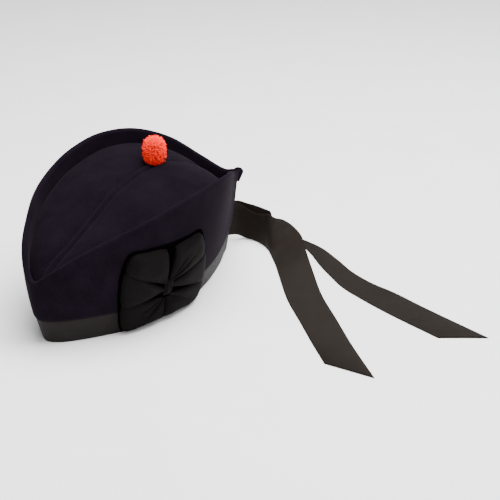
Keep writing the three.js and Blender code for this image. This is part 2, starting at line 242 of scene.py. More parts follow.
# along, rim, left out, left up, right out, right up, ridge
SECTIONS = np.array([
    (0.00, 0.00, 0.00, 0.485, 0.00, 0.485, 0.0),
    (0.02, 0.21, 0.16, 0.545, 0.178, 0.548, 0.0),
    (0.07, 0.42, 0.37, 0.65, 0.387, 0.655, -0.1),
    (0.15, 0.66, 0.60, 0.748, 0.612, 0.75, -0.2),
    (0.25, 0.89, 0.81, 0.835, 0.83, 0.855, 0.05),
    (0.36, 1.00, 0.95, 0.912, 0.95, 0.947, 0.55),
    (0.47, 0.99, 1.00, 0.957, 1.003, 1.01, 0.58),
    (0.58, 0.91, 0.96, 0.962, 0.957, 1.055, 0.48),
    (0.69, 0.77, 0.76, 0.893, 0.775, 1.048, 0.3),
    (0.79, 0.59, 0.48, 0.79, 0.505, 0.952, -0.05),
    (0.88, 0.39, 0.23, 0.70, 0.241, 0.768, 0.0),
    (0.95, 0.20, 0.085, 0.635, 0.085, 0.635, 0.0),
    (0.985, 0.11, 0.05, 0.62, 0.05, 0.615, 0.0),
    (1.00, 0.00, 0.00, 0.605, 0.00, 0.605, 0.0),
])
ALONG, RIM, LEFT_OUT, LEFT_UP, RIGHT_OUT, RIGHT_UP, RIDGE = SECTIONS.T


def cap_loop(left_points, right_points):
    """The points of the left side from front to back, then the right ones on the way back."""
    return np.vstack([left_points, right_points[-2:0:-1]])


rim_y = (ALONG - 0.5) * RIM_LENGTH
top_y = TOP_FRONT + ALONG * TOP_LENGTH
RIM_LOOP = cap_loop(*(
    np.stack([side * RIM * RIM_WIDTH / 2, rim_y, 0 * rim_y], -1) for side in (LEFT, RIGHT)
))
TOP_LOOP = cap_loop(
    np.stack([LEFT_OUT * TOP_WIDTH / 2, top_y, LEFT_UP * TOP_HEIGHT], -1),
    np.stack([-RIGHT_OUT * TOP_WIDTH / 2, top_y, RIGHT_UP * TOP_HEIGHT], -1),
)


def turn_of(side, place):
    """Where on a closed loop a place of one side lies: half the place on the left side, and
    one less half the place on the right."""
    return place / 2 if side == LEFT else 1 - place / 2


def nip(place, share):
    """How far the wall is pinched in at the back seam, below the ear: a half sine of the share
    of the height to the power NIP_LIFT, faded in along the last stretch before the seam."""
    return BACK_NIP * smoothstep(NIP_START, 1.0, place) * np.sin(np.pi * share**NIP_LIFT)


def wall_point(side, place, up=1.0, down=0.0, inward=0.0, gap=SEAM_GAP):
    """Points of the wall. place runs from 0 at the front seam to 1 at the back one. The height
    is a share of the way from the rim to the top edge (up) less a length (down). The point
    then goes out by a bulge that is a half sine of that share, and in by the nip and by inward,
    along the horizontal way out of the wall."""
    place, up, down, inward = np.broadcast_arrays(*(np.asarray(x, float) for x in (place, up, down, inward)))
    rim = smooth_through(RIM_LOOP, turn_of(side, place), closed=True)
    top = smooth_through(TOP_LOOP, turn_of(side, place), closed=True)
    cosine = np.clip(-2 * rim[..., 1] / RIM_LENGTH, -1, 1)
    out = np.stack([side * np.sqrt(1 - cosine**2), -cosine, 0 * cosine], -1)
    share = up - down / np.linalg.norm(top - rim, axis=-1)
    level = np.clip(share, 0, 1)
    bulge = WALL_BULGE * np.sin(np.pi * level) - nip(place, level)
    point = rim + (top - rim) * share[..., None] + out * (bulge - inward)[..., None]
    point[..., 0] = side * np.maximum(side * point[..., 0], gap / 2)
    return point


def share_at(side, place, height):
    """The share of the wall at a height over the table: the height divided by the top edge's."""
    return height / smooth_through(TOP_LOOP, turn_of(side, place), closed=True)[..., 2]


front, back = wall_point(LEFT, np.array([0.0, 1.0]), up=0.0)
print("rim runs from", front.round(1), "to", back.round(1))

# %% [markdown]
# ## Materials
#
# Milled wool is matt. What the eye reads as wool is a short, felted nap: fine clumps a
# millimetre across, a softer mottle over a few centimetres, and a pale bloom where the cloth
# is seen edge on, which the shader's sheen gives. A picture of cloth would show its seams and
# stretch, so the pattern is made of noise on the object's own coordinates instead.

# %% A helper for node materials
class Nodes:
    """Builds a node tree with short calls: add(kind, inputs...) makes a node and links or sets
    its inputs by name."""

    def __init__(self, name):
        self.material = bpy.data.materials.new(name)
        self.material.use_nodes = True
        self.tree = self.material.node_tree
        self.shader = self.tree.nodes["Principled BSDF"]

    def add(self, kind, settings=None, **inputs):
        node = self.tree.nodes.new("ShaderNode" + kind)
        for key, value in (settings or {}).items():
            setattr(node, key, value)
        for key, value in inputs.items():
            self.plug(node, key.replace("_", " "), value)
        return node

    def plug(self, node, key, value):
        socket = node.inputs[int(key)] if key.isdigit() else node.inputs[key]
        if isinstance(value, bpy.types.NodeSocket):
            self.tree.links.new(value, socket)
        else:
            socket.default_value = value

    def math(self, operation, a, b=0.0):
        node = self.add("Math", {"operation": operation})
        self.plug(node, "0", a)
        self.plug(node, "1", b)
        return node.outputs[0]

    def ramp(self, factor, *stops):
        """A colour ramp through (place, colour) pairs, each colour a grey or three numbers."""
        node = self.add("ValToRGB", Fac=factor)
        ramp = node.color_ramp
        for i, (place, colour) in enumerate(stops):
            stop = ramp.elements[i] if i < 2 else ramp.elements.new(place)
            stop.position = place
            grey = (colour,) * 3 if isinstance(colour, (int, float)) else colour
            stop.color = (*grey, 1.0)
        return node.outputs["Color"]

    def bump(self, height, distance, strength=1.0, normal=None):
        node = self.add("Bump", Height=height, Distance=distance, Strength=strength)
        if normal is not None:
            self.plug(node, "Normal", normal)
        return node.outputs["Normal"]

    def finish(self, colour, normal=None, **numbers):
        self.plug(self.shader, "Base Color", colour)
        if normal is not None:
            self.plug(self.shader, "Normal", normal)
        for key, value in numbers.items():
            self.plug(self.shader, key.replace("_", " "), value)
        return self.material


# %% Navy wool
def wool_material(name, dark, light, sheen):
    """Milled wool: three sizes of noise. The finest two raise the nap, the widest mottles the
    colour between a dark and a light tone."""
    n = Nodes(name)
    place = n.add("TexCoord").outputs["Object"]
    clumps = n.add("TexNoise", Vector=place, Scale=900.0, Detail=4.0, Roughness=0.65).outputs[0]
    fibres = n.add("TexNoise", Vector=place, Scale=2600.0, Detail=2.0, Roughness=0.6).outputs[0]
    mottle = n.add("TexNoise", Vector=place, Scale=45.0, Detail=3.0, Roughness=0.55).outputs[0]
    mixed = n.math("ADD", n.math("MULTIPLY", clumps, 0.55), n.math("MULTIPLY", mottle, 0.45))
    colour = n.ramp(mixed, (0.36, dark), (0.66, light))
    nap = n.bump(fibres, 0.00012, 0.5, n.bump(clumps, 0.0004, 0.6))
    return n.finish(
        colour, nap, Roughness=0.95, Specular_IOR_Level=0.02,
        Sheen_Weight=sheen, Sheen_Roughness=0.45, Sheen_Tint=(0.78, 0.64, 0.78, 1.0),
    )


navy_wool = wool_material("navy_wool", (0.003, 0.0018, 0.0038), (0.007, 0.0044, 0.0084), 0.02)

# %% [markdown]
# Grosgrain is a ribbon with a rib across it about every 0.9 mm. The ribs are the rounded
# crests of a sine along the ribbon's length, so they need a coordinate that follows the
# cloth. Each ribbon therefore carries its own UV map in millimetres: u along it, v across.

# %% Grosgrain ribbon
RIB_PITCH = 0.9


def ribbon_material(name, dark, light, roughness, specular=0.12, sheen=0.03):
    """Grosgrain: ribs are a sine of u with one crest per pitch, broken up by a little noise
    along the weft, and the colour lies between a dark and a light tone."""
    n = Nodes(name)
    uv = n.add("UVMap", {"uv_map": "cloth"}).outputs["UV"]
    wave = n.add(
        "TexWave", {"wave_type": "BANDS", "bands_direction": "X", "wave_profile": "SIN"},
        Vector=uv, Scale=2 * np.pi / 20 / RIB_PITCH, Distortion=0.4, Detail=1.0, Detail_Scale=0.6,
    ).outputs["Fac"]
    stretched = n.add("Mapping", Vector=uv, Scale=(1.0, 0.25, 1.0)).outputs["Vector"]
    threads = n.add("TexNoise", Vector=stretched, Scale=3.0, Detail=3.0, Roughness=0.7).outputs[0]
    cloudy = n.add("TexNoise", Vector=uv, Scale=0.06, Detail=2.0, Roughness=0.5).outputs[0]
    tone = n.math("ADD", n.math("MULTIPLY", wave, 0.35), n.math("MULTIPLY", threads, 0.35))
    tone = n.math("ADD", tone, n.math("MULTIPLY", cloudy, 0.3))
    colour = n.ramp(tone, (0.3, dark), (0.72, light))
    rough = n.math("ADD", n.math("MULTIPLY", threads, 0.15), roughness - 0.07)
    ribs = n.bump(threads, 0.00008, 0.4, n.bump(wave, 0.00028, 0.9))
    return n.finish(
        colour, ribs, Roughness=rough, Specular_IOR_Level=specular,
        Sheen_Weight=sheen, Sheen_Roughness=0.4, Sheen_Tint=(0.9, 0.86, 0.82, 1.0),
    )


headband_ribbon = ribbon_material("headband_ribbon", (0.0052, 0.0038, 0.0038), (0.0125, 0.0096, 0.0094), 0.6)
rosette_ribbon = ribbon_material(
    "rosette_ribbon", (0.0028, 0.0023, 0.0023), (0.0066, 0.0055, 0.0055), 0.6, specular=0.02, sheen=0.0,
)
# The pad is the bow's black backing ribbon, coloured near black and darker than the bow's own ribbon: painted
# shade for the dark gap round the bow's edge.
pad_ribbon_painted_shade = ribbon_material(
    "pad_ribbon_painted_shade", (0.0006, 0.0005, 0.0006), (0.0016, 0.0013, 0.0015), 0.8, specular=0.0, sheen=0.0,
)
tail_ribbon = ribbon_material(
    "tail_ribbon", (0.0058, 0.004, 0.003), (0.0138, 0.0096, 0.0072), 0.55, specular=0.07, sheen=0.01,
)

# %% [markdown]
# ## The wool walls
#
# Each side panel is cloth turned over at the top: it goes up the outside, rolls over in a
# round edge 6 mm thick and goes down inside to the crown's seam. Below that only the single
# cloth goes on to the headband. One closed profile holds all of this, and it is carried along
# the wall from seam to seam. The profile is the same idea as a bevelled curve, but here the
# height and the flare of the wall change with the place.

# %% Side walls
WALL_COLUMNS = 261
ROLL_STEPS = 15
HEM_INSET = 1.1
HEM_SHARE = 0.03
CUT_ROUNDING = 0.6


def lean_waves(place, share, side):
    """Slow waves of the hand-pressed cloth, in millimetres: three sines of the place and the
    height, zero at the rim and at both seams."""
    fade = np.sin(np.pi * np.clip(place, 0, 1)) ** 0.5 * smoothstep(0.15, 0.5, share)
    waves = (
        0.35 * np.sin(9.0 * place + 2.1 * share + side)
        + 0.22 * np.sin(17.0 * place - 3.4 * share + 2 * side)
        + 0.12 * np.sin(31.0 * place + 6.0 * share)
    )
    return fade * waves


def side_wall(side, name):
    """The profile: up the outer face, half a circle over the roll, down the fold behind it, in
    under the fold, and down the inner face. The foot of the cloth is turned under, so it is
    rounded too."""
    place = np.linspace(0, 1, WALL_COLUMNS)[:, None]
    radius = ROLL / 2
    foot = share_at(side, place, HEADBAND_HEIGHT + CLEARANCE)
    rise = np.linspace(0, 1, 61)[None, :]
    turn = np.pi * np.linspace(0, 1, ROLL_STEPS)[None, 1:]
    drop = np.linspace(0, 1, 9)[None, 1:]
    climb = np.linspace(1, 0, 51)[None, :]
    outer_up = foot + (1 - foot) * rise
    hem = HEM_INSET * np.exp(-((rise / HEM_SHARE) ** 2))
    edge_waves = lean_waves(place, 1.0, side)
    parts = [
        dict(up=outer_up, down=radius * rise, inward=hem - lean_waves(place, outer_up, side)),
        dict(up=1.0, down=radius * (1 - np.sin(turn)), inward=radius * (1 - np.cos(turn)) - edge_waves),
        dict(up=1.0, down=radius + (FOLD_DEPTH - radius) * drop, inward=ROLL - edge_waves * (1 - drop)),
        dict(
            up=foot + (1 - foot) * climb, down=FOLD_DEPTH * climb,
            inward=WOOL - CUT_ROUNDING * (1 - climb) ** 20,
        ),
    ]
    rings = np.concatenate([wall_point(side, place, **part) for part in parts], axis=1)
    return loft(name, rings)


for side, name in ((LEFT, "left"), (RIGHT, "right")):
    dress(side_wall(side, f"wool_wall_{name}"), [f"side_wall_{name}"], navy_wool)

# %% [markdown]
# The two rolled edges are sewn together at the back and stand up there as a small blunt ear.
# It is a tab that ends in a half ellipse, with a crease down its back where the halves meet.

# %% Ear
EAR_LENGTH = 15.0
EAR_PAST_SEAM = 0.4
EAR_OVER_EDGE = 1.4
EAR_BACKWARDS = 7.0
EAR_RISE = 8.0
EAR_HALF_WIDTH = 6.2
EAR_HALF_DEPTH = 3.6
EAR_BLUNT_FROM = 0.7
EAR_CREASE = 0.22
EAR_CREASE_WIDTH = 0.35


def ear(name):
    """Rings of ellipses along the tab. Their size is constant and then falls as a quarter of
    an ellipse at the tip, and each ring has a dip where it faces back."""
    tip = wall_point(LEFT, np.ones(1), gap=0.0)[0] + (0.0, EAR_PAST_SEAM, EAR_OVER_EDGE)
    way = np.array([0.0, EAR_BACKWARDS, EAR_RISE])
    way /= np.linalg.norm(way)
    upright = np.array([0.0, -way[2], way[1]])
    t = np.sort(np.cos(np.linspace(0, np.pi / 2, 41)))
    past = ((t - EAR_BLUNT_FROM) / (1 - EAR_BLUNT_FROM)).clip(0, 1)
    size = np.sqrt(np.clip(1 - past**2, 0, 1))[:, None]
    turn = np.linspace(0, 2 * np.pi, 65)[:-1][None, :]
    crease = 1 - EAR_CREASE * np.exp(-(((turn - 1.5 * np.pi) / EAR_CREASE_WIDTH) ** 2))
    aside = EAR_HALF_WIDTH * size * np.cos(turn) * crease
    depth = EAR_HALF_DEPTH * size * np.sin(turn) * crease
    middle = tip + (t[:, None] - 1) * EAR_LENGTH * way
    points = middle[:, None] + aside[..., None] * (1.0, 0.0, 0.0) + depth[..., None] * upright
    return loft(name, points)


dress(ear("wool_ear"), [], navy_wool)

# %% [markdown]
# ## The crown
#
# Behind the rolled edge the crown rises in two panels to a crease down the middle. Each panel
# puffs up a little between its two seams. Along the crease the cloth is pinched into a narrow
# welt, which throws a line of shade on one side and catches light on the other.

# %% Crown panels
CROWN_THICKNESS = 2.5
CROWN_RISE = 14.0
CROWN_PUFF = 4.0
CROWN_END_WIDTH = 2.5
CROWN_COLUMNS = 241
CROWN_WAVE = 0.35
WELT_HEIGHT = 1.5
WELT_WIDTH = 1.6
GROOVE_DEPTH = 2.2
GROOVE_AT = 4.2
GROOVE_WIDTH = 2.0
DIP_DEPTH = 1.8
DIP_WIDTH = 2.5


def crown_border(side, place, down):
    """Where the crown meets the fold: behind the roll and its clearance."""
    return wall_point(side, place, down=down, inward=ROLL + CLEARANCE)


def ridge_rise(place):
    """How far the crease stands over the borders: the sections' shares times the rise."""
    rows = np.stack([ALONG, RIDGE, 0 * ALONG], -1)
    return CROWN_RISE * smooth_through(rows, place)[..., 1]


def crown_face(side, place, across, down):
    """One face of a panel. Its points lie between the border and the crease, raised by a half
    sine. Close to the crease a welt rises with a groove beside it, and at the border the cloth
    dips into the seam."""
    border = crown_border(side, place, down)
    other = crown_border(-side, place, down)
    crease = (border + other) / 2
    crease[..., 0] = side * SEAM_GAP / 2
    crease[..., 2] += ridge_rise(place)
    width = np.abs(border[..., :1])
    puff = CROWN_PUFF * np.minimum(1, width / (TOP_WIDTH / 4))
    point = border[:, None] + (crease - border)[:, None] * across[None, :, None]
    from_crease = (1 - across)[None, :] * width
    welt = WELT_HEIGHT * np.exp(-((from_crease / WELT_WIDTH) ** 2))
    groove = -GROOVE_DEPTH * np.exp(-(((from_crease - GROOVE_AT) / GROOVE_WIDTH) ** 2))
    from_border = across[None, :] * width
    dip = -DIP_DEPTH * np.exp(-((from_border / DIP_WIDTH) ** 2))
    folds = CROWN_WAVE * np.sin(0.5 * np.pi * across)[None, :] * np.sin(23 * place + 2 * side)[:, None]
    fade = np.minimum(1, width / 12)
    point[..., 2] += puff * np.sin(np.pi * across)[None, :] + fade * (welt + groove + dip + folds)
    return point


def crown_panel(side, name):
    """The upper face, and back along the lower face, for every place where the crown is open."""
    place = np.linspace(0, 1, CROWN_COLUMNS)
    place = place[side * crown_border(side, place, FOLD_DEPTH)[:, 0] > CROWN_END_WIDTH]
    across = 1 - np.cos(np.linspace(0, np.pi / 2, 61))
    top = crown_face(side, place, across, FOLD_DEPTH - CROWN_THICKNESS)
    below = crown_face(side, place, across, FOLD_DEPTH)
    return loft(name, np.concatenate([top, below[:, ::-1]], axis=1))


for side, name in ((LEFT, "left"), (RIGHT, "right")):
    dress(crown_panel(side, f"wool_crown_{name}"), [f"crown_{name}"], navy_wool)

# %% [markdown]
# ## The headband
#
# The rim is bound with a ribbon 25 mm high, sewn on a little inside the wall's face. It is a
# closed band, so its profile is carried all the way round. Its ribs stand upright, because a
# ribbon's ribs run across it.

# %% Headband
BAND_INSET = 1.5
BAND_THICKNESS = 2.0
BAND_SWELL = 0.45
BAND_COLUMNS = 241


def headband(name):
    """The profile: up the front face with a soft crown, over the top, and down behind. u is
    the distance round the rim, and v the height."""
    sides = [(LEFT, np.linspace(0, 1, BAND_COLUMNS)), (RIGHT, np.linspace(1, 0, BAND_COLUMNS)[1:-1])]
    level = np.linspace(0, 1, 17)
    swell = BAND_SWELL * (1 - (2 * level - 1) ** 8) ** 0.5
    rings = []
    for side, place in sides:
        top = share_at(side, place, HEADBAND_HEIGHT)[:, None]
        face = wall_point(
            side, place[:, None], up=top * level, inward=BAND_INSET + BAND_SWELL - swell, gap=0.0,
        )
        behind = wall_point(
            side, place[:, None], up=top * level[::-1], inward=BAND_INSET + BAND_THICKNESS, gap=0.0,
        )
        rings.append(np.concatenate([face, behind], axis=1))
    rings = np.concatenate(rings)
    around = distances(rings[:, 0])
    height = np.concatenate([level, level[::-1]]) * HEADBAND_HEIGHT
    uv = np.stack(np.broadcast_arrays(around[:, None], height[None, :]), -1)
    print("headband, mm round the rim:", round(float(around[-1])))
    return loft(name, rings, uv, closed=True)


dress(headband("binding"), ["headband"], headband_ribbon)

# %% [markdown]
# ## The toorie
#
# The toorie is a ball of clipped scarlet wool. Hair particles would not leave this file as a
# mesh, so each tuft is a short bent tube of yarn with a few faces. A golden-angle spiral
# spreads the tufts evenly over a sphere, and all the tubes are worked out as one array.

# %% Toorie
TOORIE_STRETCH = 1.24
TUFTS = 1500
TUFT_SIDES = 5
TUFT_RINGS = 5
TUFT_ROOT = 0.55
TUFT_RADIUS = 0.62
TUFT_SHAPE = np.array([0.7, 0.9, 1.0, 0.95, 0.45])
TOORIE_BLUNT = 0.07
TOORIE_NAP = 0.3
rng = np.random.default_rng(17)


def toorie(name, centre, radius):
    """Tufts from the middle of the ball to its face. Tuft i points along the spiral: its height
    falls evenly from 1 to -1 and its angle grows by the golden angle. Each is a tube whose
    middle bends sideways by a half parabola and whose radius swells and closes at the tip. The
    shears leave the ball a little blunt: half way up and down it is 7 hundredths wider."""
    i = np.arange(TUFTS)
    height = 1 - 2 * (i + 0.5) / TUFTS
    angle = np.pi * (3 - np.sqrt(5)) * i
    flat = np.sqrt(1 - height**2)
    away = np.stack([flat * np.cos(angle), flat * np.sin(angle), height], -1)
    away += rng.normal(0, 0.05, away.shape)
    away /= np.linalg.norm(away, axis=-1, keepdims=True)
    aside = np.cross(away, rng.normal(0, 1, away.shape))
    aside /= np.linalg.norm(aside, axis=-1, keepdims=True)
    third = np.cross(away, aside)
    blunt = 1 + TOORIE_BLUNT * (2 * flat * height) ** 2
    reach = radius * blunt * (1 + rng.normal(0, 0.035, TUFTS))
    t = np.linspace(0, 1, TUFT_RINGS)
    out = TUFT_ROOT + (1 - TUFT_ROOT) * t
    bend = rng.uniform(0.3, 1.3, TUFTS)[:, None] * t[None, :] ** 2
    middle = (
        away[:, None] * (reach[:, None] * out[None, :])[..., None]
        + aside[:, None] * bend[..., None]
    )
    thick = TUFT_RADIUS * TUFT_SHAPE[None, :] * rng.uniform(0.85, 1.2, TUFTS)[:, None]
    turn = 2 * np.pi * np.arange(TUFT_SIDES) / TUFT_SIDES
    ring = (
        aside[:, None, None] * np.cos(turn)[None, None, :, None]
        + third[:, None, None] * np.sin(turn)[None, None, :, None]
    ) * thick[..., None, None]
    points = (middle[:, :, None] + ring) * (1.0, 1.0, TOORIE_STRETCH) + centre
    size = TUFT_RINGS * TUFT_SIDES
    k = np.arange(TUFT_SIDES)
    step = np.arange(TUFT_RINGS - 1)[:, None] * TUFT_SIDES
    beside = (k + 1) % TUFT_SIDES
    tube = np.stack(np.broadcast_arrays(
        step + k, step + beside, step + TUFT_SIDES + beside, step + TUFT_SIDES + k,
    ), -1).reshape(-1, 4)
    fan = np.array([(0, j + 1, j) for j in range(1, TUFT_SIDES - 1)])
    lids = np.vstack([fan, fan[:, ::-1] + size - TUFT_SIDES])
    start = (i * size)[:, None, None]
    piece = fill_mesh(
        name, points.reshape(-1, 3), (tube + start).reshape(-1, 4), None, (lids + start).reshape(-1, 3),
    )
    tip = np.broadcast_to(t[None, :, None], points.shape[:3]).ravel()
    tone = np.broadcast_to(rng.uniform(0, 1, TUFTS)[:, None, None], points.shape[:3]).ravel()
    for label, values in (("tip", tip), ("tone", tone)):
        attribute = piece.data.attributes.new(label, "FLOAT", "POINT")
        attribute.data.foreach_set("value", values.astype(np.float32))
    return piece


# %% Scarlet yarn
def yarn_material(name):
    """Yarn: scarlet along the tuft, darker red towards the root, which is painted shade deep in
    the ball, and paler at the clipped tip, which is a painted highlight, with each tuft a
    little lighter or darker than the next."""
    n = Nodes(name)
    tip = n.add("Attribute", {"attribute_name": "tip"}).outputs["Fac"]
    tone = n.add("Attribute", {"attribute_name": "tone"}).outputs["Fac"]
    place = n.add("TexCoord").outputs["Object"]
    fuzz = n.add("TexNoise", Vector=place, Scale=3500.0, Detail=2.0).outputs[0]
    mixed = n.math("ADD", n.math("MULTIPLY", tip, 0.75), n.math("MULTIPLY", tone, 0.25))
    # Painted shade and highlight: the roots, deep in the ball, are dark red and the clipped tips paler.
    colour = n.ramp(
        mixed, (0.3, (0.7, 0.008, 0.002)), (0.75, (1.0, 0.012, 0.003)), (1.0, (1.0, 0.06, 0.025)),
    )
    return n.finish(
        colour, n.bump(fuzz, 0.0001, 0.6), Roughness=0.95, Specular_IOR_Level=0.05,
        Sheen_Weight=0.2, Sheen_Roughness=0.4, Sheen_Tint=(1.0, 0.3, 0.2, 1.0),
    )


toorie_low, toorie_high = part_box("toorie")
toorie_radius = (toorie_high.x - toorie_low.x) * 1000 / 2 + TOORIE_NAP
toorie_middle = np.array((toorie_low + toorie_high) / 2) * 1000 - ORIGIN
toorie_middle[2] = toorie_high.z * 1000 - toorie_radius * TOORIE_STRETCH
red_wool = yarn_material("red_wool")
dress(toorie("toorie_yarn", toorie_middle, toorie_radius), ["toorie"], red_wool)

# %% [markdown]
# ## The tails
#
# Two ribbons 38 mm wide start on edge at the back seam, twist over in the air and lie down on
# the table. A ribbon bends along its length but hardly stretches, so its middle line and the
# way across it say nearly everything about it. Cloth simulation would let the ribbons fall
# somewhere else than these lie, so their routes are tables of rows, worked out by scratch
# scripts from points picked in the photo. Where a ribbon twists or slants, a row's spread
# makes it narrower or wider than a real one, instead of folding it.

# %% Tails
RIBBON_THICKNESS = 0.7
RIBBON_WIDTH = 38.0
TAIL_REACH = 330.0
TAIL_FOOT = 12.0
TAIL_ROOM = 0.95
TAIL_ASIDE = 0.65
TAIL_CROWN = 0.5
TABLE_ROOM = 0.05

# out, back, up, turn, lean, spread
TAIL_LEFT = np.array([
    (0.009, 0.061, 0.681, 56, 87, 0.97),
    (0.026, 0.086, 0.516, 63, 86, 0.92),
    (0.045, 0.097, 0.434, 99, 79, 0.82),
    (0.067, 0.100, 0.420, 112, 73, 0.83),
    (0.096, 0.092, 0.430, 129, 60, 0.95),
    (0.119, 0.082, 0.462, 121, 61, 1.02),
    (0.131, 0.083, 0.416, 110, 54, 0.99),
    (0.141, 0.097, 0.337, 102, 33, 1.18),
    (0.156, 0.106, 0.215, 98, 17, 1.42),
    (0.187, 0.092, 0.118, 93, 8, 1.54),
    (0.235, 0.045, 0.046, 84, 3, 1.31),
    (0.314, -0.041, 0.018, 53, 1, 0.99),
    (0.432, -0.167, 0.013, 52, 0, 0.97),
    (0.553, -0.274, 0.013, 51, 0, 0.95),
    (0.659, -0.368, 0.013, 29, 0, 0.99),
    (0.779, -0.468, 0.013, 5, 0, 1.32),
])
TAIL_RIGHT = np.array([
    (-0.001, 0.068, 0.717, 53, 86, 1.02),
    (0.014, 0.098, 0.592, 45, 85, 1.00),
    (0.038, 0.111, 0.521, 98, 79, 0.98),
    (0.070, 0.114, 0.486, 101, 73, 0.95),
    (0.092, 0.105, 0.493, 100, 73, 0.98),
    (0.103, 0.101, 0.499, 95, 74, 0.97),
    (0.113, 0.112, 0.309, 100, 59, 0.63),
    (0.135, 0.135, 0.147, 101, 28, 0.49),
    (0.167, 0.161, 0.050, 97, 8, 0.44),
    (0.205, 0.168, 0.026, 76, 5, 0.33),
    (0.273, 0.139, 0.036, 77, 5, 0.46),
    (0.354, 0.087, 0.040, 50, 5, 0.58),
    (0.433, 0.038, 0.030, 55, 2, 0.66),
    (0.519, -0.003, 0.022, 56, 1, 0.84),
    (0.608, -0.027, 0.013, 63, 0, 0.98),
    (0.721, -0.061, 0.013, 59, 0, 1.02),
    (0.941, -0.117, 0.013, 36, 0, 1.26),
])


def tail_edges(side, table):
    """Both edges of a ribbon at each row of its table. The middle is the row's shares of the
    reach and of the width. The edges lie half a width times the row's spread from it, along a
    way whose heading is turn and whose slope is lean. The first row stands on edge at the back seam."""
    out, behind, up, turn, lean, spread = table.T
    middle = np.stack([out * TAIL_REACH, RIM_LENGTH / 2 + behind * TAIL_REACH, up * RIBBON_WIDTH], -1)
    turn, lean = np.radians(turn), np.radians(lean)
    across = np.stack([np.cos(turn) * np.cos(lean), np.sin(turn) * np.cos(lean), np.sin(lean)], -1)
    across *= (spread * RIBBON_WIDTH / 2)[:, None]
    levels = np.array([TAIL_FOOT, TAIL_FOOT + RIBBON_WIDTH])
    seam = wall_point(LEFT, np.ones(2), up=share_at(LEFT, np.ones(2), levels))
    seam[:, 0] = side * TAIL_ASIDE
    seam[:, 1] += TAIL_ROOM
    seam[:, 2] = levels
    return np.vstack([seam[:1], middle - across]), np.vstack([seam[1:], middle + across])


def tail(side, table, name, columns=321, strips=33):
    """The ribbon between its edges, as a sheet with a thickness. Across it goes a shallow
    crown, and both selvedges lie flat. No point goes below the table. u is the distance along
    the middle and v the distance across, so the ribs run straight across the ribbon."""
    near, far = tail_edges(side, table)
    t = np.linspace(0, 1, columns)
    near, far = smooth_through(near, t), smooth_through(far, t)
    v = np.linspace(0, 1, strips)
    sheet = near[:, None] + (far - near)[:, None] * v[None, :, None]
    sheet[..., 2] += TAIL_CROWN * np.sin(np.pi * v)[None, :] * (0.5 + 0.5 * np.sin(21 * t))[:, None]
    sheet[..., 2] = np.maximum(sheet[..., 2], RIBBON_THICKNESS / 2 + TABLE_ROOM)
    along = distances((near + far) / 2)
    uv = np.stack(np.broadcast_arrays(along[:, None], v[None, :] * RIBBON_WIDTH), -1)
    piece = sheet_shell(name, sheet, RIBBON_THICKNESS, uv)
    return piece, along[-1]


for side, table, name in ((LEFT, TAIL_LEFT, "left"), (RIGHT, TAIL_RIGHT, "right")):
    ribbon, length = tail(side, table, f"ribbon_tail_{name}")
    dress(ribbon, [f"tail_{name}"], tail_ribbon)
    print(f"tail {name}: {length:.0f} mm long")

# %% [markdown]
# ## The rosette
#
# On the wearer's left a bow of black ribbon covers the side from the headband nearly to the
# top edge. Its folds all run out from one pinched point, so its own natural coordinates are
# polar: the way round the outline, and the share of the way from the pinch to it. A flat pad
# lies on the wool, puffed folds lie on the pad, and a short band holds them at the pinch. The
# pad is coloured nearly black, as painted shade for the dark gap round the bow's edge.
# Every point is given in the wall's own terms: a place along the wall, a height over the
# table, and a lift off the cloth, so the bow follows the wall's curve by itself.

# %% Points on the left wall
def on_wall(place, height, lift):
    """A point of the left wall at a place and a height, lifted off it by a distance."""
    place, height, lift = np.broadcast_arrays(*(np.asarray(x, float) for x in (place, height, lift)))
    return wall_point(LEFT, place, up=share_at(LEFT, place, height), inward=-lift)


def patch_uv(sheet):
    """u is the distance along the patch's middle row, v the distance across its middle column."""
    rows, columns = sheet.shape[:2]
    u = distances(sheet[:, columns // 2])
    v = distances(sheet[rows // 2])
    return np.stack(np.broadcast_arrays(u[:, None], v[None, :]), -1)


# %% The pinch and the outline
PLACE_SCALE = 1000.0
PINCH = np.array((0.378, 42.0))

# place along the wall and height, from over the pinch to the front and on round
OUTLINE = np.array([
    (0.370, 87.0), (0.320, 87.5), (0.274, 85.0), (0.260, 68.0), (0.256, 48.0),
    (0.258, 26.0), (0.266, 5.0), (0.330, 3.0), (0.430, 3.0), (0.525, 5.0),
    (0.531, 24.0), (0.515, 50.0), (0.489, 74.0), (0.466, 88.0), (0.420, 88.0),
])
OUTLINE_ROWS = np.hstack([OUTLINE * (PLACE_SCALE, 1.0), np.zeros((len(OUTLINE), 1))])


def from_pinch(station, reach, lower=0.0):
    """Places and heights at a station of the outline, counted in its rows, and at a reach: the
    share of the straight way from the pinch to the outline. Folds that come out from under the
    band start lower than the pinch."""
    rim = smooth_through(OUTLINE_ROWS, np.asarray(station) / len(OUTLINE) % 1.0, closed=True)
    rim = rim[..., :2] / (PLACE_SCALE, 1.0)
    start = PINCH - (0.0, lower)
    point = start + (rim - start) * np.asarray(reach)[..., None]
    return point[..., 0], point[..., 1]


# %% The pad under the folds
PAD_LIFT = 0.35
PAD_THICKNESS = 1.5
PAD_EDGE = 0.05
PAD_REACH = 45
STATION_STEP = 20


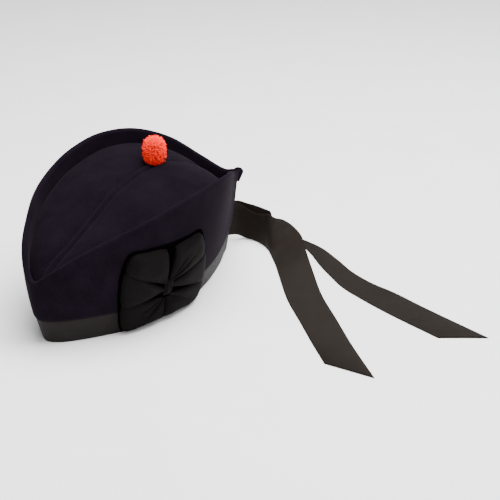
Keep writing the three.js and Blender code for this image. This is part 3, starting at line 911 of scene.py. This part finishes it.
def rosette_pad(name):
    """A closed ring of rings: the station runs all the way round and the reach goes out over the
    upper face and back under it. The lift falls away as a square root at the outline."""
    station = np.linspace(0, len(OUTLINE), 241)[:-1, None]
    reach = np.linspace(0.02, 1, 41)[None, :]
    place, height = from_pinch(station, np.broadcast_to(reach, (240, 41)))
    face = on_wall(place, height, PAD_LIFT + PAD_THICKNESS * np.clip((1 - reach) / PAD_EDGE, 0, 1) ** 0.5)
    under = on_wall(place, height, CLEARANCE)
    rings = np.concatenate([face, under[:, ::-1]], axis=1)
    around = np.broadcast_to(station * STATION_STEP, rings.shape[:2])
    out = np.concatenate([reach, reach[:, ::-1]], axis=1) * PAD_REACH
    out = np.broadcast_to(out, rings.shape[:2])
    return loft(name, rings, np.stack([out, around], -1), closed=True)


dress(rosette_pad("rosette_pad"), ["rosette_backing"], pad_ribbon_painted_shade)

# %% Folds that run out from the pinch
FOLD_BASE = 1.9
FOLD_THINNEST = 0.2
FOLD_INNER = 0.07
FOLD_SIDE = 0.4
FOLD_ROOT = 0.35
FOLD_RISEN = 0.45
FOLD_ROUND_FROM = 0.75
FOLD_CORNER = 0.05
GATHER_DEPTH = 0.5


def fold_out(name, lower, start, end, reach, puff, gathers):
    """One fold between two stations. f goes from one side of it to the other and r from the
    pinch out. The lift is a base plus a puff times three profiles: across the fold a rounded
    box, the square root of 1 less the sixth power of 2f - 1, on a step of its own; outwards a
    rise from the pinch and a quarter of an ellipse down to the end; and gathers, folded sines
    of f that are deep at the pinch and fade on the way out."""
    f = np.linspace(0, 1, 121)[:, None]
    r = np.linspace(0, 1, 71)[None, :]
    across = FOLD_SIDE + (1 - FOLD_SIDE) * np.sqrt(np.clip(1 - (2 * f - 1) ** 6, 0, 1))
    rise = FOLD_ROOT + (1 - FOLD_ROOT) * smoothstep(0.0, FOLD_RISEN, r)
    past = ((r - FOLD_ROUND_FROM) / (1 - FOLD_ROUND_FROM)).clip(0, 1)
    end_round = np.sqrt(np.clip(1 - past**2, 0, 1))
    crest = np.abs(np.sin(np.pi * gathers * f)) ** 0.7
    depth = GATHER_DEPTH * (1 - smoothstep(0.1, 0.8, r))
    lift = puff * across * rise * end_round * (1 - depth * (1 - crest))
    rounded = reach - FOLD_CORNER * (2 * f - 1) ** 6
    station = start + (end - start) * (f + 0.0 * r)
    place, height = from_pinch(station, FOLD_INNER + (rounded - FOLD_INNER) * r, lower)
    face = on_wall(place, height, FOLD_BASE + lift)
    under = on_wall(place, height, FOLD_BASE - FOLD_THINNEST)
    uv = patch_uv(face)[..., ::-1]
    rings = np.concatenate([face, under[:, ::-1]], axis=1)
    return loft(name, rings, np.concatenate([uv, uv[:, ::-1]], axis=1))


# name, node it stands for, mm under the pinch, start, end, reach, puff, gathers
FOLDS = [
    ("rosette_front_upper", "rosette_loop_front", 0, 0.2, 3.05, 0.945, 8.0, 1.0),
    ("rosette_front_lower", None, 5, 2.75, 4.85, 0.955, 7.5, 1.0),
    ("rosette_end_front", "rosette_pleats", 12, 4.6, 7.5, 0.97, 5.5, 3.0),
    ("rosette_end_back", None, 11, 7.5, 10.1, 0.97, 6.0, 2.0),
    ("rosette_back_lower", None, 3, 9.8, 11.5, 0.95, 5.5, 1.0),
    ("rosette_back_upper", "rosette_loop_back", 0, 11.35, 14.7, 0.935, 6.5, 3.0),
]
for name, node, lower, start, end, reach, puff, gathers in FOLDS:
    fold = fold_out(name, lower, start, end, reach, puff, gathers)
    dress(fold, [node] if node else [], rosette_ribbon)

# %% The band that holds the bow
KNOT_PLACE = 0.367
KNOT_WIDTH = 0.026
KNOT_FOOT = 31
KNOT_HEIGHT = 17
KNOT_UNDER = 2.2
KNOT_BASE = 2.4
KNOT_ARCH = 4.2
KNOT_GATHER = 0.35


def knot_band(name):
    """A short band over the pinch. It arches over the folds as a half ellipse across, and its
    fine gathers are sines across it."""
    u = np.linspace(0, 1, 61)[:, None]
    v = np.linspace(0, 1, 61)[None, :]
    place = KNOT_PLACE + KNOT_WIDTH * u
    height = KNOT_FOOT + KNOT_HEIGHT * v
    arch = np.sqrt(np.clip(1 - (2 * u - 1) ** 2, 0, 1)) * np.sin(np.pi * v) ** 0.3
    gathers = KNOT_GATHER * np.cos(6 * np.pi * u) * arch
    face = on_wall(place, height, KNOT_BASE + KNOT_ARCH * arch + gathers)
    under = on_wall(place, height, KNOT_UNDER)
    uv = patch_uv(face)
    rings = np.concatenate([face, under[:, ::-1]], axis=1)
    return loft(name, rings, np.concatenate([uv, uv[:, ::-1]], axis=1))


dress(knot_band("rosette_band"), ["rosette_knot"], rosette_ribbon)

# %% [markdown]
# ## Table and light
#
# The cap stands on a plain pale table that runs on behind it, under soft studio light: a broad
# lamp overhead, a faint one from the back, one beside the camera, and a pale surround that
# fills the shadows. A dark object needs this, because it is mostly seen by the light on its edges.

# %% Table
def table_top(name, size):
    """A square of four corners, size metres to each side of the origin, at height 0."""
    corners = np.array([(-1, -1, 0), (1, -1, 0), (1, 1, 0), (-1, 1, 0)], float) * size
    mesh = bpy.data.meshes.new(name)
    mesh.from_pydata(corners.tolist(), [], [(0, 1, 2, 3)])
    piece = bpy.data.objects.new(name, mesh)
    bpy.context.collection.objects.link(piece)
    return piece


def table_material(name):
    """Pale matt paper with a very faint mottle."""
    n = Nodes(name)
    place = n.add("TexCoord").outputs["Object"]
    mottle = n.add("TexNoise", Vector=place, Scale=14.0, Detail=3.0).outputs[0]
    return n.finish(n.ramp(mottle, (0.3, 0.9), (0.7, 0.93)), Roughness=0.9, Specular_IOR_Level=0.1)


table = table_top("table", 12.0)
table.data.materials.append(table_material("table_paper"))

# %% Lights
def area_light(name, at, target, size, power):
    """A square lamp that looks at a point: its own -Z axis is turned along the way from it to
    the point."""
    lamp = bpy.data.lights.new(name, "AREA")
    lamp.size = size
    lamp.energy = power
    piece = bpy.data.objects.new(name, lamp)
    way = Vector(target) - Vector(at)
    piece.matrix_world = Matrix.Translation(Vector(at)) @ way.to_track_quat("-Z", "Y").to_matrix().to_4x4()
    bpy.context.collection.objects.link(piece)
    return piece


MIDDLE = (0.0, 0.0, 0.08)
area_light("lamp_over", (0.2, 0.3, 1.7), MIDDLE, 1.6, 112.0)
area_light("lamp_back", (0.9, 1.5, 0.9), MIDDLE, 0.9, 1.0)
area_light("lamp_key", (1.2, -0.9, 1.1), MIDDLE, 0.9, 14.0)

world = bpy.data.worlds.new("surround")
world.use_nodes = True
world.node_tree.nodes["Background"].inputs["Color"].default_value = (1.0, 1.0, 1.0, 1.0)
world.node_tree.nodes["Background"].inputs["Strength"].default_value = 0.45
bpy.context.scene.world = world
